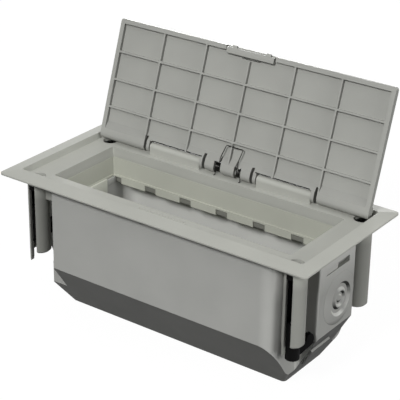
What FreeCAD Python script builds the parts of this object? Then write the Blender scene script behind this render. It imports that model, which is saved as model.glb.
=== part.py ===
import FreeCAD, Part
import math
import os

from FreeCAD import Vector

# Furniture socket box: a lidded tub that drops into a cut-out in a worktop.
# X runs along the box, -Y is the front, +Z is up.
# Levels are drawn from the flange's seat, which lies on the worktop, and widths from the
# flange's middle. The finished pieces are moved so that the origin is the middle of the tub's base.

# Flange
flange_length = 179.0
flange_width = 82.2
flange_corner_radius = 2.4
flange_edge = 0.8
flange_rise = 0.9

# Body, set a little behind the middle of the flange
body_offset = 0.7

# Lid recess in the flange
recess_half_length = 82.2
recess_front = 32.2
recess_back = 34.0
recess_corner_radius = 1.5
recess_floor_level = -1.8
recess_floor_thickness = 1.8
recess_wall = 1.8

# Collar round the module opening
opening_length = 139.8
opening_width = 46.0
opening_corner_radius = 0.8
collar_wall = 1.8
collar_depth = 5.6

# Skirts that line the tub's walls
skirt_thickness = 1.6
skirt_depth = 9.4
skirt_clearance = 0.3
end_skirt_half_width = 13.0
end_skirt_depth = 12.6
front_skirt_right_end = 58.0
web_tub_gap = 0.8

# Snap tongues on the end skirts
tongue_width = 19.2
tongue_height = 2.4
tongue_reach = 1.6
tongue_depth_below_tray = 8.2
window_clearance = 0.35

# Clamp towers
tower_x = 76.0
tower_from_body_centre = 28.1
tower_radius = 5.4
tower_bore_radius = 3.7
tower_bottom = -42.9
long_tower_bottom = -46.7
tower_bottom_chamfer = 0.9
tower_slot_width = 3.6
tower_slot_top_gap = 0.9
stop_strip_width = 1.7
stop_strip_bottom = -47.8
back_opening_start_deg = 33.0
back_opening_end_deg = 97.0

# Clamp screws
head_hole_radius = 3.8
head_seat_level = -5.5
head_seat_thickness = 1.6
screw_hole_radius = 2.2
screw_radius = 1.95
screw_head_radius = 3.3
screw_head_height = 2.4
screw_end = -37.4
drive_slot_width = 0.9
drive_slot_depth = 1.2
drive_slot_half_length = 2.0
retainer_half_width = 2.4
retainer_thickness = 0.8
retainer_gap = 0.2
retainer_fit = 0.1

# Threaded inserts and claws
thread_fit = 0.05
insert_radius = 2.7
insert_shoulder = 2.0
insert_length = 9.0
claw_fit = 0.05
claw_hub_radius = 3.4
claw_bore_radius = 2.2
claw_bottom = -50.4
claw_arm_height = 7.5
claw_foot_height = 1.6
claw_tip_bottom = -44.4
claw_sleeve_length = 19.0
claw_arm_thickness = 2.6
claw_reach = 10.4
claw_tip_inner_radius = 6.4
claw_tip_top = -39.4
claw_tip_round = 1.9
claw_park_deg = 63.0
raised_claw_park_deg = 74.0
claw_raise = 12.6

# Tub
tub_half_length = 81.1
tub_half_width = 35.6
tub_wall = 1.8
tub_top_gap = 0.2
tub_edge_level = -45.6
tub_bottom_level = -73.3
tub_bottom_half_length = 65.4
tub_bottom_half_width = 16.7
tub_round_corner = 8.0
tub_small_corner = 0.8
hopper_round = 2.6
wide_notch_end = 61.2
narrow_notch_end = 69.9
end_wall_half_width = 15.6
step_block_end = 70.6
step_block_front = 25.5
step_block_top = -49.0
neighbour_clearance = 0.3
knockout_level = -32.2
knockout_radius = 10.2
knockout_depth = 1.0
knockout_groove = 1.8
pilot_radius = 2.6
pilot_depth = 1.0
end_pad_start = 8.5
end_pad_end = 20.0
end_pad_proud = 1.0
end_pad_front = 13.0
end_pad_back = 3.0

# Module frame below the collar
module_step = 0.3
module_wall = 1.6
module_ledge_level = -17.0
module_ledge_thickness = 1.0
module_opening_length = 137.8
module_opening_width = 44.0
module_lip_height = 3.2
module_lip_thickness = 1.2
module_pitch = 22.5
module_gap_width = 7.0
hook_positions = (-35.0, 35.0)
hook_width = 8.0
hook_thickness = 1.4
hook_gap = 0.2
hook_bead = 0.8
hook_bead_height = 1.2
hook_base_height = 3.0

# Lid, drawn closed and then swung open about the hinge
lid_open_deg = 108.1
hinge_y = 29.3
hinge_z = 1.9
lid_half_length = 80.7
lid_reach = 60.1
lid_rim_below_axis = 3.0
lid_thickness = 3.6
lid_skin = 1.8
lid_rim_width = 2.4
lid_rib_width = 1.0
lid_rib_pitch = 26.15
lid_first_row = 16.9
lid_row_pitch = 14.5
lid_corner_radius = 1.4
lid_edge_chamfer = 1.0
lid_hinge_band = 2.6
lid_ramp_start = 6.4

# Hinge
bead_radius = 3.0
knuckle_radius = 2.5
knuckle_start = 17.3
knuckle_end = 48.4
knuckle_gap = 0.3
lug_thickness = 1.8
relief_width = 1.6
relief_length = 5.0
swing_gap = 0.45
stub_radius = 1.2
stub_length = 2.6
stub_fit = 0.05
stub_end_gap = 0.4

# Lid spring
spring_x = 6.05
spring_wire = 0.5
spring_turns = 5
spring_mean_radius = 2.15
spring_side_gap = 0.4
spring_pitch = 0.7
arbor_radius = 1.5
spring_loop_reach = 13.0
spring_tail_reach = 4.6
spring_lift = 0.05

# Latch at the lid's free edge
latch_half_length = 13.6
latch_front = 0.9
latch_back = 5.2
latch_proud = 0.8
latch_round = 0.9
latch_nose_x = 10.4
latch_nose_width = 3.4
latch_nose_reach = 0.6
latch_nose_height = 1.2
latch_travel = 1.2
latch_gap = 0.3
latch_end_gap = 1.0
latch_nose_lift = 0.2
latch_seat_gap = 0.1
stem_half_length = 5.0
stem_front = 3.2
stem_back = 4.6
pad_half_length = 9.0
pad_front = 2.0
pad_back = 7.0
pad_height = 0.9
pad_lift = 0.1
pad_corner_radius = 1.6
pad_groove_count = 4
pad_groove_half_length = 6.3
pad_groove_width = 0.5
pad_groove_depth = 0.3

# Overshoot of the cutting shapes, and the length below which an edge is left out
far = 2.0
shortest_edge = 0.000001

# Levels and places worked out from the sizes above
flange_top = flange_edge + flange_rise
tray_bottom = recess_floor_level - recess_floor_thickness
collar_bottom = recess_floor_level - collar_depth
opening_half_length = opening_length / 2
opening_half_width = opening_width / 2
seat_bottom = head_seat_level - head_seat_thickness
slot_top = seat_bottom - tower_slot_top_gap
tower_front_y = body_offset - tower_from_body_centre
tub_front = body_offset - tub_half_width
tub_top = tray_bottom - tub_top_gap
notch_back = body_offset - end_wall_half_width
lid_inner = hinge_z - lid_rim_below_axis
lid_outer = lid_inner + lid_thickness
lid_skin_inner = lid_outer - lid_skin
lid_front = hinge_y - lid_reach
claw_top = claw_bottom + claw_sleeve_length
insert_top = claw_top - insert_shoulder - claw_fit
module_lip_bottom = module_ledge_level - module_ledge_thickness - module_lip_height
stem_slot_front = stem_front - latch_travel - latch_gap
spring_half_coil = spring_pitch * (spring_turns - 1) / 2


def block(x0, x1, y0, y1, z0, z1):
    return Part.makeBox(x1 - x0, y1 - y0, z1 - z0, Vector(x0, y0, z0))


def rod(x, y, z0, z1, radius):
    return Part.makeCylinder(radius, z1 - z0, Vector(x, y, z0))


def rod_along_x(x0, x1, y, z, radius):
    return Part.makeCylinder(radius, x1 - x0, Vector(x0, y, z), Vector(1, 0, 0))


def corner_arc(before, corner, after, radius):
    # Tangent arc that rounds one corner, as its start, middle and end points.
    to_before = (before - corner).normalize()
    to_after = (after - corner).normalize()
    half_angle = to_before.getAngle(to_after) / 2
    setback = radius / math.tan(half_angle)
    start = corner + to_before * setback
    end = corner + to_after * setback
    bisector = (to_before + to_after).normalize()
    middle = corner + bisector * (radius / math.sin(half_angle) - radius)
    return start, middle, end


def rounded_wire(points, z):
    # Closed outline through (x, y, radius) corners at height z, sharp where the radius is 0.
    corners = [Vector(x, y, z) for x, y, radius in points]
    count = len(corners)
    arcs = []
    for index, (x, y, radius) in enumerate(points):
        arcs.append(corner_arc(corners[index - 1], corners[index], corners[(index + 1) % count], radius))
    edges = []
    for index, (start, middle, end) in enumerate(arcs):
        if points[index][2] > 0:
            edges.append(Part.Arc(start, middle, end).toShape())
        following = arcs[(index + 1) % count][0]
        if end.distanceToPoint(following) > shortest_edge:
            edges.append(Part.LineSegment(end, following).toShape())
    return Part.Wire(edges)


def prism(points, z0, z1):
    return Part.Face(rounded_wire(points, z0)).extrude(Vector(0, 0, z1 - z0))


def rectangle(x0, x1, y0, y1, radius):
    return [(x0, y0, radius), (x1, y0, radius), (x1, y1, radius), (x0, y1, radius)]


def rounded_block(x0, x1, y0, y1, z0, z1, radius):
    return prism(rectangle(x0, x1, y0, y1, radius), z0, z1)


def level(x0, x1, y0, y1, z):
    return [Vector(x0, y0, z), Vector(x1, y0, z), Vector(x1, y1, z), Vector(x0, y1, z)]


def frustum(low, high):
    # Solid with flat sides between two level rectangles.
    sides = [[low[i], low[(i + 1) % 4], high[(i + 1) % 4], high[i]] for i in range(4)]
    outlines = [low[::-1], high] + sides
    faces = [Part.Face(Part.makePolygon(outline + outline[:1])) for outline in outlines]
    return Part.Solid(Part.Shell(faces))


def half_turn(shape):
    # Copy turned by half a turn about the body's vertical centre line.
    turned = shape.copy()
    turned.rotate(Vector(0, body_offset, 0), Vector(0, 0, 1), 180)
    return turned


def with_half_turns(shapes):
    return shapes + [half_turn(shape) for shape in shapes]


def mirrored_in_x(shape):
    return shape.mirror(Vector(0, 0, 0), Vector(1, 0, 0))


def flange():
    half_length = flange_length / 2
    half_width = flange_width / 2
    outline = rectangle(-half_length, half_length, -half_width, half_width, flange_corner_radius)
    slope = frustum(
        level(-half_length, half_length, -half_width, half_width, flange_edge),
        level(-recess_half_length, recess_half_length, -recess_front, recess_back, flange_top))
    return prism(outline, 0, flange_edge).fuse(slope.common(prism(outline, 0, flange_top)))


def recess_tray():
    return rounded_block(
        -recess_half_length - recess_wall, recess_half_length + recess_wall,
        -recess_front - recess_wall, recess_back + recess_wall,
        tray_bottom, flange_edge / 2, recess_corner_radius + recess_wall)


def recess_space():
    return rounded_block(
        -recess_half_length, recess_half_length, -recess_front, recess_back,
        recess_floor_level, flange_top + far, recess_corner_radius)


def opening_block(margin, z0, z1):
    return rounded_block(
        -opening_half_length - margin, opening_half_length + margin,
        body_offset - opening_half_width - margin, body_offset + opening_half_width + margin,
        z0, z1, opening_corner_radius + margin)


def collar():
    body = opening_block(collar_wall, collar_bottom, tray_bottom)
    beads = []
    bead_top = tray_bottom - hook_bead_height - hook_gap
    for x in hook_positions:
        outside = opening_half_width + collar_wall
        beads.append(block(
            x - hook_width / 2, x + hook_width / 2,
            body_offset - outside - hook_bead, body_offset - outside,
            bead_top - hook_bead_height, bead_top))
    return body.multiFuse(with_half_turns(beads))


def front_skirt():
    # Lines the inside of the tub's front wall, between its notches.
    outer_y = tub_front + tub_wall + skirt_clearance
    left = -wide_notch_end + tub_wall + skirt_clearance
    return block(
        left, front_skirt_right_end, outer_y, outer_y + skirt_thickness,
        tray_bottom - skirt_depth, tray_bottom)


def tower_web():
    # Web that stiffens the tower in the wide notch, ending short of the tub.
    half = skirt_thickness / 2
    web = block(
        -tower_x, -wide_notch_end - web_tub_gap, tower_front_y - half, tower_front_y + half,
        tray_bottom - skirt_depth, tray_bottom)
    return web.cut(rod(-tower_x, tower_front_y, tower_bottom, seat_bottom, tower_bore_radius))


def end_skirt():
    # Lines the right end wall, with a wedge that snaps into its window.
    outer_x = tub_half_length - tub_wall - skirt_clearance
    low_y = body_offset - end_skirt_half_width
    high_y = body_offset + end_skirt_half_width
    plate = block(
        outer_x - skirt_thickness, outer_x, low_y, high_y, tray_bottom - end_skirt_depth, tray_bottom)
    top = tray_bottom - tongue_depth_below_tray
    profile = Part.makePolygon([
        Vector(outer_x - skirt_thickness / 2, body_offset - tongue_width / 2, top),
        Vector(outer_x + tongue_reach, body_offset - tongue_width / 2, top),
        Vector(outer_x, body_offset - tongue_width / 2, top - tongue_height),
        Vector(outer_x - skirt_thickness / 2, body_offset - tongue_width / 2, top - tongue_height),
        Vector(outer_x - skirt_thickness / 2, body_offset - tongue_width / 2, top)])
    wedge = Part.Face(profile).extrude(Vector(0, tongue_width, 0))
    return plate.fuse(wedge)


def sector(start_deg, end_deg, radius, z0, z1):
    # Wedge about the origin's vertical axis.
    start = math.radians(start_deg)
    end = math.radians(end_deg)
    middle = (start + end) / 2
    tip = Vector(0, 0, z0)
    first = Vector(radius * math.cos(start), radius * math.sin(start), z0)
    between = Vector(radius * math.cos(middle), radius * math.sin(middle), z0)
    last = Vector(radius * math.cos(end), radius * math.sin(end), z0)
    wire = Part.Wire([
        Part.LineSegment(tip, first).toShape(),
        Part.Arc(first, between, last).toShape(),
        Part.LineSegment(last, tip).toShape()])
    return Part.Face(wire).extrude(Vector(0, 0, z1 - z0))


def tower(x, bottom):
    # Split tube with a slot to the front for the claw and an opening behind for its parked arm.
    half_slot = tower_slot_width / 2
    tube = rod(0, 0, bottom, tray_bottom, tower_radius)
    rim = [edge for edge in tube.Edges if edge.BoundBox.ZMax < bottom + far]
    tube = tube.makeChamfer(tower_bottom_chamfer, rim)
    bore = rod(0, 0, bottom, seat_bottom, tower_bore_radius)
    slot = block(-half_slot, half_slot, -tower_radius - far, 0, bottom, slot_top)
    opening = sector(back_opening_start_deg, back_opening_end_deg, tower_radius + far, bottom, slot_top)
    shape = tube.cut(bore).cut(slot).cut(opening)
    shape.translate(Vector(x, tower_front_y, 0))
    return shape


def stop_strip(x):
    # Strip beside a front tower's slot, long enough to stop the claw where it swings out.
    ring = rod(0, 0, stop_strip_bottom, slot_top, tower_radius)
    ring = ring.cut(rod(0, 0, stop_strip_bottom, slot_top, tower_bore_radius))
    right = -tower_slot_width / 2
    left = right - stop_strip_width
    end_radius = stop_strip_width / 2
    strip = block(left, right, -tower_radius - far, 0, stop_strip_bottom + end_radius, slot_top)
    rounded_end = Part.makeCylinder(
        end_radius, tower_radius + far,
        Vector(left + end_radius, -tower_radius - far, stop_strip_bottom + end_radius), Vector(0, 1, 0))
    shape = strip.fuse(rounded_end).common(ring)
    shape.translate(Vector(x, tower_front_y, 0))
    return shape


def screw_well(x):
    # Room for the screw's head, and the hole through its seat.
    well = rod(x, tower_front_y, head_seat_level, flange_top + far, head_hole_radius)
    hole = rod(x, tower_front_y, seat_bottom - far, head_seat_level + far, screw_hole_radius)
    return well.fuse(hole)


def knuckle():
    # Right hinge knuckle on the recess floor, bored at both ends for the lid's stub pins.
    bar = rod_along_x(knuckle_start, knuckle_end, hinge_y, hinge_z, knuckle_radius)
    foot = block(
        knuckle_start, knuckle_end, hinge_y - knuckle_radius, hinge_y + knuckle_radius,
        recess_floor_level, hinge_z)
    bore_length = stub_length + stub_end_gap
    bore_radius = stub_radius + stub_fit
    left_bore = rod_along_x(knuckle_start, knuckle_start + bore_length, hinge_y, hinge_z, bore_radius)
    right_bore = rod_along_x(knuckle_end - bore_length, knuckle_end, hinge_y, hinge_z, bore_radius)
    return bar.fuse(foot).cut(left_bore).cut(right_bore)


def keeper_pocket():
    # Pocket in the recess's front wall for the right latch nose.
    half = latch_nose_width / 2 + latch_gap
    depth = latch_nose_reach + latch_travel + latch_gap
    low = lid_inner + latch_nose_lift
    return block(
        latch_nose_x - half, latch_nose_x + half, lid_front - depth, lid_front,
        low - latch_gap, low + latch_nose_height + latch_gap)


def latch_well():
    # Shallow well in the recess floor that clears the latch bar when the lid is shut.
    return block(
        -latch_half_length - latch_gap, latch_half_length + latch_gap,
        lid_front + latch_front - latch_travel - latch_gap, lid_front + latch_back + latch_gap,
        lid_inner - latch_proud - latch_gap, flange_top)


def make_top_frame():
    towers = with_half_turns([tower(tower_x, tower_bottom)])
    towers += [tower(-tower_x, tower_bottom), half_turn(tower(-tower_x, long_tower_bottom))]
    strips = [stop_strip(-tower_x), stop_strip(tower_x)]
    skirts = with_half_turns([front_skirt(), tower_web(), end_skirt()])
    body = flange().multiFuse([recess_tray(), collar()] + towers + strips + skirts)
    wells = with_half_turns([screw_well(-tower_x), screw_well(tower_x)])
    pocket = keeper_pocket()
    cuts = [recess_space(), opening_block(0, collar_bottom - far, flange_top + far), latch_well()]
    cuts += wells + [pocket, mirrored_in_x(pocket)]
    right_knuckle = knuckle()
    body = body.cut(cuts[0].multiFuse(cuts[1:]))
    return body.multiFuse([right_knuckle, mirrored_in_x(right_knuckle)]).removeSplitter()


def tub_plan(inset, with_step):
    # Outline of the tub with its four notches, drawn inset from the outside by a wall.
    right = tub_half_length - inset
    front = tub_front + inset
    small = max(tub_small_corner - inset, 0)
    rounded = tub_round_corner - inset
    wide = wide_notch_end - inset
    narrow = narrow_notch_end - inset
    notch = notch_back + inset
    side = [(-right, notch, small)]
    if with_step:
        step = step_block_end - inset
        step_y = body_offset - step_block_front + inset
        side += [(-step, notch, small), (-step, step_y, small), (-wide, step_y, small)]
    else:
        side += [(-wide, notch, small)]
    side += [(-wide, front, small), (narrow, front, rounded), (narrow, notch, small), (right, notch, small)]
    back = [(-x, 2 * body_offset - y, radius) for x, y, radius in side]
    return side + back


def hopper(inset, z_top, z_bottom):
    # Tapering bottom between the flat base and the wall's lower edge, rounded where its slopes meet.
    bottom_x = tub_bottom_half_length - inset
    bottom_y = tub_bottom_half_width - inset
    top_x = tub_half_length - inset
    top_y = tub_half_width - inset
    taper = frustum(
        level(-bottom_x, bottom_x, body_offset - bottom_y, body_offset + bottom_y, z_bottom),
        level(-top_x, top_x, body_offset - top_y, body_offset + top_y, z_top))
    slant_edges = [edge for edge in taper.Edges if edge.BoundBox.ZLength > far]
    return taper.makeFillet(hopper_round - inset, slant_edges)


def tub_form(inset, z_top):
    # Solid shape of the tub, or of its inside when drawn inset by the wall.
    step_top = step_block_top - inset
    bottom = tub_bottom_level + inset
    upper = prism(tub_plan(inset, False), tub_edge_level, z_top)
    taper = hopper(inset, tub_edge_level, bottom)
    plain = prism(tub_plan(inset, False), step_top, tub_edge_level)
    stepped = prism(tub_plan(inset, True), bottom, step_top)
    return upper.multiFuse([taper.common(plain), taper.common(stepped)])


def end_cuts():
    # Snap window of the right end wall, and the groove and dimple of its knock-out.
    outer_x = tub_half_length
    top = tray_bottom - tongue_depth_below_tray + window_clearance
    bottom = tray_bottom - tongue_depth_below_tray - tongue_height - window_clearance
    half = tongue_width / 2 + window_clearance
    window = block(
        outer_x - tub_wall - far / 2, outer_x + far, body_offset - half, body_offset + half, bottom, top)
    groove_x = outer_x - knockout_depth
    groove = rod_along_x(groove_x, outer_x + far, body_offset, knockout_level, knockout_radius)
    core_radius = knockout_radius - knockout_groove
    core = rod_along_x(groove_x, outer_x + far, body_offset, knockout_level, core_radius)
    dimple = Part.makeCone(
        pilot_radius, pilot_radius - pilot_depth, pilot_depth,
        Vector(outer_x, body_offset, knockout_level), Vector(-1, 0, 0))
    return [window, groove.cut(core), dimple]


def end_pad():
    # Raised pad on the right end slope, drawn along the slope from its upper edge.
    upper = Vector(tub_half_length, 0, tub_edge_level)
    along = (Vector(tub_bottom_half_length, 0, tub_bottom_level) - upper).normalize()
    outward = Vector(-along.z, 0, along.x)
    sunk = outward * (-tub_wall / 2)
    proud = outward * end_pad_proud
    front = Vector(0, body_offset - end_pad_front, 0)
    start = upper + along * end_pad_start + front
    end = upper + along * end_pad_end + front
    lean = along * end_pad_proud
    profile = Part.makePolygon([
        start + sunk, end + sunk, end + proud - lean, start + proud + lean, start + sunk])
    return Part.Face(profile).extrude(Vector(0, end_pad_front + end_pad_back, 0))


def notch_shelf():
    # Floor under the module frame over a wide notch, which keeps the tub shut there.
    top = module_lip_bottom - neighbour_clearance
    return block(
        -opening_half_length, -wide_notch_end + tub_wall, body_offset - opening_half_width,
        notch_back + tub_wall, top - tub_wall, top)


def make_tub():
    shell = tub_form(0, tub_top).cut(tub_form(tub_wall, tub_top + far))
    # The notch walls are cut away where the collar and the module frame pass them.
    widest = max(collar_wall, module_wall - module_step)
    frame_room = opening_block(
        widest + neighbour_clearance, module_lip_bottom - neighbour_clearance, tub_top + far)
    for cut in [frame_room] + with_half_turns(end_cuts()):
        shell = shell.cut(cut)
    return shell.multiFuse(with_half_turns([end_pad(), notch_shelf()])).removeSplitter()


def frame_hook(x):
    # Hook at the front that grips the bead on the collar.
    outside = opening_half_width + collar_wall
    near_y = body_offset - outside - hook_bead - hook_gap
    wall_y = body_offset - opening_half_width + module_step - module_wall
    bead_top = tray_bottom - hook_bead_height - hook_gap
    left = x - hook_width / 2
    right = x + hook_width / 2
    base_top = collar_bottom - hook_gap
    base = block(left, right, near_y - hook_thickness, wall_y, base_top - hook_base_height, base_top)
    leg = block(
        left, right, near_y - hook_thickness, near_y, base_top - hook_base_height, tray_bottom - hook_gap)
    barb = block(left, right, near_y, near_y + hook_bead, bead_top + hook_gap / 2, tray_bottom - hook_gap)
    return [base, leg, barb]


def make_module_frame():
    inner = -module_step
    walls = opening_block(inner + module_wall, module_ledge_level - module_ledge_thickness, collar_bottom)
    walls = walls.cut(opening_block(inner, module_ledge_level, collar_bottom + far))
    half_length = module_opening_length / 2
    half_width = module_opening_width / 2
    lip = rounded_block(
        -half_length - module_lip_thickness, half_length + module_lip_thickness,
        body_offset - half_width - module_lip_thickness, body_offset + half_width + module_lip_thickness,
        module_lip_bottom, module_ledge_level - module_ledge_thickness,
        opening_corner_radius + module_lip_thickness)
    hole = rounded_block(
        -half_length, half_length, body_offset - half_width, body_offset + half_width,
        module_lip_bottom - far, module_ledge_level + far, opening_corner_radius)
    hooks = []
    for x in hook_positions:
        hooks += frame_hook(x)
    shape = walls.multiFuse([lip] + with_half_turns(hooks)).cut(hole)
    lip_top = module_ledge_level - module_ledge_thickness
    lip_reach = half_width + module_lip_thickness + far
    gaps_each_side = int(half_length // module_pitch)
    for number in range(-gaps_each_side, gaps_each_side + 1):
        left = number * module_pitch - module_gap_width / 2
        shape = shape.cut(block(
            left, left + module_gap_width, body_offset - lip_reach, body_offset + lip_reach,
            module_lip_bottom - far, lip_top))
    return shape.removeSplitter()


def swung_open(shape):
    # Turns a shape that was drawn on the closed lid to where it stands on the open lid.
    opened = shape.copy()
    opened.rotate(Vector(0, hinge_y, hinge_z), Vector(1, 0, 0), -lid_open_deg)
    return opened


def on_lid(x0, x1, v0, v1, z0, z1):
    # Block on the closed lid, with v measured back from its free edge.
    return block(x0, x1, lid_front + v0, lid_front + v1, z0, z1)


def lid_plate():
    # Plate with bevelled outer edges, hollowed inside up to a ramp along the hinge.
    plate = prism([
        (-lid_half_length, lid_front, lid_corner_radius), (lid_half_length, lid_front, lid_corner_radius),
        (lid_half_length, hinge_y, 0), (-lid_half_length, hinge_y, 0)], lid_inner, lid_outer)
    outer_edges = [
        edge for edge in plate.Edges
        if edge.BoundBox.ZMin > lid_inner + lid_skin and edge.BoundBox.YMin < hinge_y - far]
    plate = plate.makeChamfer(lid_edge_chamfer, outer_edges)
    left = -lid_half_length + lid_rim_width
    front = lid_front + lid_rim_width
    ramp_start = hinge_y - lid_ramp_start
    ramp_end = hinge_y - lid_hinge_band
    profile = Part.makePolygon([
        Vector(left, front, lid_inner), Vector(left, front, lid_skin_inner),
        Vector(left, ramp_start, lid_skin_inner), Vector(left, ramp_end, lid_inner),
        Vector(left, front, lid_inner)])
    hollow = Part.Face(profile).extrude(Vector(-2 * left, 0, 0))
    return plate.cut(hollow)


def lid_ribs():
    ribs = []
    columns = int((lid_half_length - lid_rim_width) // lid_rib_pitch)
    for number in range(-columns, columns + 1):
        x = number * lid_rib_pitch
        half = lid_rib_width / 2
        if lid_half_length - abs(x) > lid_rim_width + lid_rib_pitch / 2:
            ribs.append(on_lid(
                x - half, x + half, lid_rim_width, lid_reach - lid_hinge_band, lid_inner, lid_skin_inner))
    row = lid_first_row
    while row < lid_reach - lid_hinge_band - lid_row_pitch / 2:
        ribs.append(on_lid(
            -lid_half_length + lid_rim_width, lid_half_length - lid_rim_width,
            row - lid_rib_width / 2, row + lid_rib_width / 2, lid_inner, lid_skin_inner))
        row += lid_row_pitch
    return ribs


def hinge_bead():
    # Half-round bead along the hinge line, flush with the lid's outside.
    bead = rod_along_x(-lid_half_length, lid_half_length, hinge_y, hinge_z, bead_radius)
    above = block(
        -lid_half_length - far, lid_half_length + far,
        hinge_y - bead_radius - far, hinge_y + bead_radius + far, lid_outer, hinge_z + bead_radius + far)
    return bead.cut(above)


def hinge_gaps():
    # Room for the right knuckle, the relief slots that let its lugs flex, and the right spring coil.
    window_start = knuckle_start - knuckle_gap
    window_end = knuckle_end + knuckle_gap
    window_back = hinge_y + bead_radius + far
    low = hinge_z - bead_radius - far
    high = lid_outer + far
    window = block(
        window_start, window_end, hinge_y - knuckle_radius - swing_gap, window_back, low, high)
    inner_relief = block(
        window_start - lug_thickness - relief_width, window_start - lug_thickness,
        hinge_y - relief_length, window_back, low, high)
    outer_relief = block(
        window_end + lug_thickness, window_end + lug_thickness + relief_width,
        hinge_y - relief_length, window_back, low, high)
    coil_half = spring_half_coil + spring_wire / 2 + spring_side_gap
    coil_reach = spring_mean_radius + spring_wire / 2 + swing_gap
    coil_gap = block(
        spring_x - coil_half, spring_x + coil_half, hinge_y - coil_reach, window_back, low, high)
    arbor = rod_along_x(
        spring_x - coil_half - far, spring_x + coil_half + far, hinge_y, hinge_z, arbor_radius)
    return [window, inner_relief, outer_relief, coil_gap.cut(arbor)]


def stub_pins():
    # Stub pins on the lugs either side of the right knuckle.
    window_start = knuckle_start - knuckle_gap
    window_end = knuckle_end + knuckle_gap
    reach = knuckle_gap + stub_length
    left = rod_along_x(window_start, window_start + reach, hinge_y, hinge_z, stub_radius)
    right = rod_along_x(window_end - reach, window_end, hinge_y, hinge_z, stub_radius)
    return [left, right]


def make_lid_panel():
    gaps = hinge_gaps()
    pins = stub_pins()
    body = lid_plate().multiFuse(lid_ribs() + [hinge_bead()])
    for gap in gaps + [mirrored_in_x(gap) for gap in gaps]:
        body = body.cut(gap)
    latch_bed = on_lid(
        -latch_half_length - latch_end_gap, latch_half_length + latch_end_gap,
        -far, latch_back + latch_gap, lid_inner - far, lid_skin_inner)
    stem_slot = on_lid(
        -stem_half_length - latch_gap, stem_half_length + latch_gap,
        stem_slot_front, stem_back + latch_gap, lid_skin_inner - far, lid_outer + far)
    wire_half = spring_wire / 2 + spring_lift
    loop_v = lid_reach - spring_loop_reach
    loop_x = spring_x - spring_half_coil
    wire_bed = on_lid(
        -spring_x, spring_x, loop_v - wire_half, loop_v + wire_half, lid_inner - far, lid_skin_inner)
    leg_bed = on_lid(
        loop_x - wire_half, loop_x + wire_half, lid_reach - lid_ramp_start, lid_reach,
        lid_inner - far, lid_skin_inner)
    body = body.cut(latch_bed).cut(stem_slot).cut(wire_bed).cut(leg_bed).cut(mirrored_in_x(leg_bed))
    body = body.multiFuse(pins + [mirrored_in_x(pin) for pin in pins])
    return swung_open(body.removeSplitter())


def latch_bar_profile(z_low, z_high):
    # Side view of the bar: square at the skin, rounded where it shows.
    front = lid_front + latch_front
    back = lid_front + latch_back
    x = -latch_half_length
    front_arc = corner_arc(Vector(x, front, z_high), Vector(x, front, z_low), Vector(x, back, z_low), latch_round)
    back_arc = corner_arc(Vector(x, front, z_low), Vector(x, back, z_low), Vector(x, back, z_high), latch_round)
    return Part.Wire([
        Part.LineSegment(Vector(x, front, z_high), front_arc[0]).toShape(),
        Part.Arc(*front_arc).toShape(),
        Part.LineSegment(front_arc[2], back_arc[0]).toShape(),
        Part.Arc(*back_arc).toShape(),
        Part.LineSegment(back_arc[2], Vector(x, back, z_high)).toShape(),
        Part.LineSegment(Vector(x, back, z_high), Vector(x, front, z_high)).toShape()])


def make_latch_bar():
    top = lid_skin_inner - latch_seat_gap
    profile = latch_bar_profile(lid_inner - latch_proud, top)
    bar = Part.Face(profile).extrude(Vector(2 * latch_half_length, 0, 0))
    low = lid_inner + latch_nose_lift
    nose = on_lid(
        latch_nose_x - latch_nose_width / 2, latch_nose_x + latch_nose_width / 2,
        -latch_nose_reach, latch_back - latch_round, low, low + latch_nose_height)
    bar = bar.multiFuse([nose, mirrored_in_x(nose)])
    return swung_open(bar.removeSplitter())


def make_latch_thumb_pad():
    top = lid_outer + pad_lift + pad_height
    pad = rounded_block(
        -pad_half_length, pad_half_length, lid_front + pad_front, lid_front + pad_back,
        lid_outer + pad_lift, top, pad_corner_radius)
    stem = on_lid(
        -stem_half_length, stem_half_length, stem_front, stem_back,
        lid_skin_inner - latch_seat_gap, lid_outer + pad_lift)
    grooves = []
    spacing = (pad_back - pad_front) / (pad_groove_count + 1)
    for number in range(1, pad_groove_count + 1):
        v = pad_front + number * spacing
        grooves.append(on_lid(
            -pad_groove_half_length, pad_groove_half_length,
            v - pad_groove_width / 2, v + pad_groove_width / 2, top - pad_groove_depth, top + far))
    shape = pad.fuse(stem)
    for groove in grooves:
        shape = shape.cut(groove)
    return swung_open(shape.removeSplitter())


def spring_coil(middle_x):
    # Close coil, drawn as the sleeve that its turns fill.
    radius = spring_wire / 2
    left = middle_x - spring_half_coil - radius
    right = middle_x + spring_half_coil + radius
    sleeve = rod_along_x(left, right, hinge_y, hinge_z, spring_mean_radius + radius)
    return sleeve.cut(rod_along_x(left - far, right + far, hinge_y, hinge_z, spring_mean_radius - radius))


def make_lid_spring():
    radius = spring_wire / 2
    loop_x = spring_x - spring_half_coil
    tail_x = spring_x + spring_half_coil
    lay = lid_skin_inner - radius - spring_lift
    leg_offset = math.sqrt(spring_mean_radius ** 2 - (hinge_z - lay) ** 2)
    leg_start = Vector(loop_x, hinge_y - leg_offset, lay)
    leg_length = spring_loop_reach - leg_offset + radius
    leg = Part.makeCylinder(radius, leg_length, leg_start, Vector(0, -1, 0))
    bridge = rod_along_x(-loop_x, loop_x, hinge_y - spring_loop_reach, lay, radius)
    loop = leg.multiFuse([mirrored_in_x(leg), bridge])
    tail_z = recess_floor_level + spring_lift + radius
    tail_drop = hinge_z - spring_mean_radius - tail_z
    tail = Part.makeCylinder(radius, spring_tail_reach, Vector(tail_x, hinge_y, tail_z), Vector(0, -1, 0))
    heel = rod(tail_x, hinge_y, tail_z, tail_z + tail_drop, radius)
    coil = spring_coil(spring_x)
    fixed = [coil, tail, heel]
    return swung_open(loop).multiFuse(fixed + [mirrored_in_x(shape) for shape in fixed]).removeSplitter()


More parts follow.
